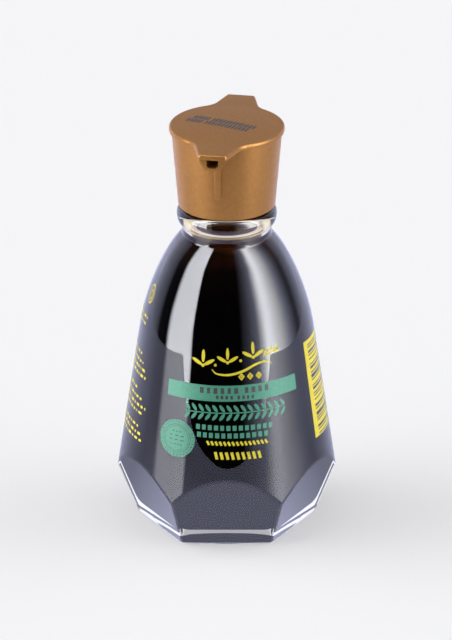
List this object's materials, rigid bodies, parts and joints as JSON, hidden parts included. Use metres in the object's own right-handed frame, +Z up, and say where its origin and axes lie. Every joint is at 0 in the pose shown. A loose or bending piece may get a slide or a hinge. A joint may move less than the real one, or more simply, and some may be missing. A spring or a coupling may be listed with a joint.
{
  "type": "soy sauce bottle",
  "caption": "Table flask of soy sauce: round glass body cut to facets at its foot, filled with dark sauce, under a tapered cap with opposite pouring beaks.",
  "frame": {"origin": "centre of the foot, on the surface that it stands on", "axes": "+Z up along the bottle's axis; -Y is the side with the front print, at the middle of one facet of the foot; +X to the right of it"},
  "size_m": [0.0662, 0.0634, 0.1269],
  "materials": {
    "clear_glass": "clear flint glass, polished",
    "dark_sauce": "dark brown liquid, nearly black in depth",
    "gold_plastic": "satin moulded plastic with a gold-copper pearl",
    "green_ink": "flat screen print on the glass",
    "yellow_ink": "flat screen print on the glass",
    "dark_ink": "thin ink jet marks on the cap"
  },
  "bodies": {
    "root": {"glass_bottle": "clear_glass", "soy_sauce": "dark_sauce", "pourer_cap": "gold_plastic"}
  },
  "joints": []
}
